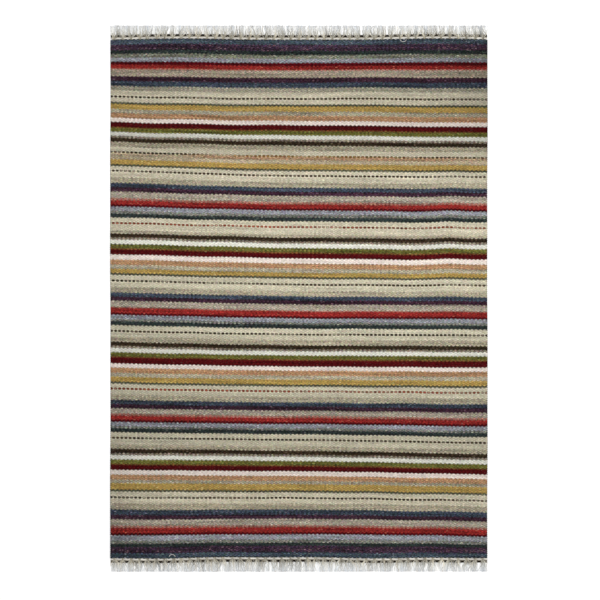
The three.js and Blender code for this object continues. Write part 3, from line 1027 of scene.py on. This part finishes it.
def lock_strands(rng, end, per_lock, steps, spread):
    """Paths of the fringe's threads or fibres, how far out each step is, and the bunch of each one."""
    locks = np.repeat(np.arange(LOCKS), per_lock)
    count = len(locks)
    shift = (rng.normal(size=LOCKS) * LOCK_JITTER)[locks]
    width = ROOT_HALF_WIDTH * (1 + rng.normal(size=LOCKS) * LOCK_WIDTH_JITTER)[locks]
    centre = (locks + 0.5) * LOCK_PITCH - FIELD_WIDTH / 2
    root = rng.uniform(-1, 1, count)
    stray = rng.uniform(size=count) < STRAY_SHARE
    reach = TRIM_LINE + rng.normal(size=count) * REACH_JITTER
    share = np.linspace(0, 1, steps)
    out = THREAD_OUT[0] + (reach[:, None] - THREAD_OUT[0]) * share
    out_share = np.clip(out / TRIM_LINE, 0, 1)
    fan = np.interp(out, THREAD_OUT, THREAD_FAN)
    loose = (fan - THREAD_FAN[0]) / (THREAD_FAN[-1] - THREAD_FAN[0])
    half_width = np.minimum(width[:, None] * fan, LOCK_PITCH / 2)
    half_width = np.where(stray[:, None], LOCK_PITCH / 2, half_width)

    side = np.minimum(((root + 1) / 2 * BUNCHES).astype(int), BUNCHES - 1)
    bunch = locks * BUNCHES + side
    bunch_middle = (side + 0.5) / BUNCHES * 2 - 1
    bunch_rng = np.random.default_rng(SEEDS["bunches"] + end)
    bunch_lean = (bunch_rng.normal(size=LOCKS * BUNCHES) * BUNCH_LEAN)[bunch]
    leaning = np.clip((out - LEAN_FROM) / (TRIM_LINE - LEAN_FROM), 0, 1) ** LEAN_BEND
    drawn = bunch_middle[:, None] + (root - bunch_middle)[:, None] * (1 - BUNCH_PINCH * leaning**0.5)
    x = centre[:, None] + shift[:, None] * (1 - loose) + drawn * half_width
    lean = rng.normal(size=count) * spread + bunch_lean
    x = x + lean[:, None] * leaning
    for waves in CURL_WAVES:
        turn = rng.uniform(0, 2 * math.pi, count)[:, None]
        swing = rng.normal(size=count)[:, None] * spread * CURL_SHARE / waves
        x = x + swing * np.sin(2 * math.pi * waves * share + turn) * np.clip(out / CURL_REACH, 0, 1)
    x = np.clip(x, -FIELD_WIDTH / 2, FIELD_WIDTH / 2)
    field_end = end_line(x, end)
    y = field_end + end * out * (TRIM_LINE + FIELD_LENGTH / 2 - np.abs(field_end)) / TRIM_LINE
    z = np.interp(out, THREAD_OUT, THREAD_RISE)
    z = z + rng.uniform(0, 1, count)[:, None] * PILE_HEIGHT * (1 - out_share)
    z = z - ROOT_ARCH * (root**2)[:, None] * (1 - loose)
    return np.stack([x, y, z], -1), out, bunch


def strand_tints(rng, end, out, bunch):
    """Greyish beige at the root, nearly white at the tip, where it is partly painted highlight, and each
    bunch and strand a little its own.
    """
    place = np.clip(out / TRIM_LINE, 0, 1)
    seen = linear(FRINGE_TINTS)
    tint = np.stack([np.interp(place, TINT_STOPS, seen[:, axis]) for axis in range(3)], -1)
    bunch_rng = np.random.default_rng(SEEDS["bunch_tints"] + end)
    bunch_own = bunch_rng.normal(size=LOCKS * BUNCHES)[bunch] * BUNCH_TINT_JITTER
    own = (rng.normal(size=len(bunch)) * TINT_JITTER + bunch_own)[:, None]
    own = np.exp(own * np.interp(place, TINT_JITTER_STOPS, TINT_JITTER_SHARES))[:, :, None]
    warm = 1 + rng.normal(size=(len(bunch), 1, 1)) * np.array(WARMTH_JITTER)
    soiled = (rng.uniform(size=len(bunch)) < SOILED_SHARE)[:, None, None]
    tint = np.where(soiled, tint * SOILED_TINT, tint)
    return np.clip(tint * own * warm, *COTTON_LIMITS)


def fringe(end, name):
    """Threads and fine fibres of one end, its two cords, and the dark wool tubes below the locks that paint
    the shadow between them.
    """
    rng = np.random.default_rng(SEEDS["fringe"] + end)

    def lane(out, height):
        """A path along the end, so far out from the field and so high."""
        return np.stack([x, end_line(x, end) + end * out, height], -1)

    def add_part(kind, slot, *tubes):
        made = add_tubes(f"{kind}_{name}", *tubes)
        mark_piece(made, slot, f"fringe_{name}")
        return made

    paths, out, bunch = lock_strands(rng, end, THREADS_A_LOCK, THREAD_STEPS, THREAD_LEAN)
    tints = strand_tints(rng, end, out, bunch)
    radii = np.interp(out, THREAD_THINS, THREAD_RADII)
    add_part("fringe_threads", "cotton_warp", paths, radii, THREAD_SIDES, tints, COTTON)

    paths, out, bunch = lock_strands(rng, end, FIBRES_A_LOCK, FIBRE_STEPS, FIBRE_LEAN)
    paths[:, :, 2] += FIBRE_LIFT
    tints = strand_tints(rng, end, out, bunch)
    add_part("fringe_fibres", "cotton_warp", paths, FIBRE_RADIUS, FIBRE_SIDES, tints, COTTON)

    steps = LOCKS * CORD_STEPS_A_LOCK + 1
    x = np.linspace(CORD_INSET - FIELD_WIDTH / 2, FIELD_WIDTH / 2 - CORD_INSET, steps)
    phase = math.pi * (x + FIELD_WIDTH / 2) / LOCK_PITCH
    strands = []
    for way in (1, -1):
        up = np.cos(phase) * way
        height = CORD_HEIGHT + np.sign(up) * np.abs(up) ** CORD_CROSSING * CORD_RISE
        strands.append(lane(CORD_OUT + np.sin(phase) * way * CORD_SWING, height))
    patchy = np.exp(CORD_TINT_JITTER * smooth_noise(rng, steps, CORD_STEPS_A_LOCK))
    tints = np.clip(linear(CORD_TINT) * patchy[:, None], *COTTON_LIMITS)
    cord = (np.stack(strands), CORD_RADIUS, CORD_SIDES, tints, COTTON, FLATTENED)
    add_part("end_cord", "cotton_warp", *cord)

    out = SECOND_CORD_OUT + SECOND_CORD_SWING * np.cos(4 * phase)
    path = lane(out, SECOND_CORD_HEIGHT + SECOND_CORD_RISE * np.cos(2 * phase))[None]
    cord = (path, SECOND_CORD_RADIUS, WEFT_SIDES, linear(SECOND_CORD_TINT), COTTON)
    add_part("second_cord", "cotton_warp", *cord)

    # Dark wool tubes below the locks paint the shadow in the gaps between them
    lanes = []
    for middle in SHADOW_WEFT_OUT:
        stray, wave = (far * smooth_noise(rng, steps, span) for far, span in SHADOW_WEFT_NOISE)
        lanes.append(lane(middle + stray, SHADOW_WEFT_HEIGHT + wave))
    weft = (np.stack(lanes), SHADOW_WEFT_RADIUS, WEFT_SIDES, linear(SHADOW_WEFT_TINT), WOOL, FLATTENED)
    made = add_part("shadow_weft", "wool_cloth", *weft)
    set_depth(made, np.full(len(made.data.vertices), SHADOW_WEFT_DEPTH))


# Stray threads that stand out of the face as small bows: centre, and 1 where the bow opens downwards
STRAY_LOOPS = {"bottom": ((-0.403, -0.818), 1), "top": ((0.332, 0.821), -1)}
LOOP_STEPS = 15
LOOP_SIDES = 8
LOOP_HALF_WIDTH = 9.5 * MM
LOOP_HEIGHT = 8 * MM
LOOP_RADIUS = 0.7 * MM
LOOP_LIFT = 0.5 * MM
LOOP_ARCH = 0.8 * MM
LOOP_DIVE = 1.6 * MM
LOOP_DIVE_BEND = 8
LOOP_TINT = (205, 204, 200)


def stray_loop(name, centre, way):
    turn = np.linspace(0, math.pi, LOOP_STEPS)
    x = centre[0] - LOOP_HALF_WIDTH * np.cos(turn)
    y = centre[1] + way * (LOOP_HEIGHT * np.sin(turn) - LOOP_HEIGHT / 2)
    z = crown(x, y) + LOOP_LIFT + LOOP_ARCH * np.sin(turn) - LOOP_DIVE * np.cos(turn) ** LOOP_DIVE_BEND
    path = np.stack([x, y, z], -1)[None]
    made = add_tubes(f"stray_loop_{name}", path, LOOP_RADIUS, LOOP_SIDES, linear(LOOP_TINT), COTTON)
    mark_piece(made, "cotton_warp", "woven_field")


field_strips()
fringe(TOP_END, "top")
fringe(BOTTOM_END, "bottom")
for loop_name, (loop_centre, loop_way) in STRAY_LOOPS.items():
    stray_loop(loop_name, loop_centre, loop_way)

# Floor, light and camera. The camera looks straight down, and the middle pixel is where X and Y are 0
PIXEL = 3.181 * MM
PHOTO_PIXELS = 600
MIDDLE_PIXEL = (298.87, 298.58)
CAMERA_HEIGHT = 6.0
SENSOR = 36
FLOOR_SIZE = 8.0
FLOOR_DROP = 0.2 * MM
FLOOR_TINT = (0.93, 0.93, 0.925, 1)
FLOOR_ROUGHNESS = 0.9
WORLD_TINT = (1, 1, 1, 1)
WORLD_STRENGTH = 0.64
LIGHT_PLACE = (0.25, 0.24, 3.0)
LIGHT_SIZE = 2.4
LIGHT_POWER = 78


def studio():
    scene = bpy.context.scene
    scene.view_settings.view_transform = "Standard"
    half = FLOOR_SIZE / 2
    floor_mesh = bpy.data.meshes.new("floor")
    corners = [(-half, -half, 0), (half, -half, 0), (half, half, 0), (-half, half, 0)]
    floor_mesh.from_pydata(corners, [], [(0, 1, 2, 3)])
    paint = bpy.data.materials.new("pale_floor")
    paint.use_nodes = True
    shader = paint.node_tree.nodes["Principled BSDF"]
    shader.inputs["Base Color"].default_value = FLOOR_TINT
    shader.inputs["Roughness"].default_value = FLOOR_ROUGHNESS
    floor_mesh.materials.append(paint)
    floor = bpy.data.objects.new("floor", floor_mesh)
    floor.location.z = -FLOOR_DROP

    world = bpy.data.worlds.new("studio")
    world.use_nodes = True
    background = world.node_tree.nodes["Background"]
    background.inputs["Color"].default_value = WORLD_TINT
    background.inputs["Strength"].default_value = WORLD_STRENGTH
    scene.world = world

    lamp = bpy.data.lights.new("soft_box", "AREA")
    lamp.shape = "SQUARE"
    lamp.size = LIGHT_SIZE
    lamp.energy = LIGHT_POWER
    box = bpy.data.objects.new("soft_box", lamp)
    box.location = LIGHT_PLACE

    lens = bpy.data.cameras.new("camera")
    lens.sensor_width = SENSOR
    lens.lens = SENSOR * (CAMERA_HEIGHT - CLOTH_THICKNESS) / (PIXEL * PHOTO_PIXELS)
    camera = bpy.data.objects.new("camera", lens)
    camera.location = (
        (PHOTO_PIXELS / 2 - MIDDLE_PIXEL[0]) * PIXEL,
        (MIDDLE_PIXEL[1] - PHOTO_PIXELS / 2) * PIXEL,
        CAMERA_HEIGHT,
    )
    for thing in (floor, box, camera):
        scene.collection.objects.link(thing)
    scene.camera = camera


studio()
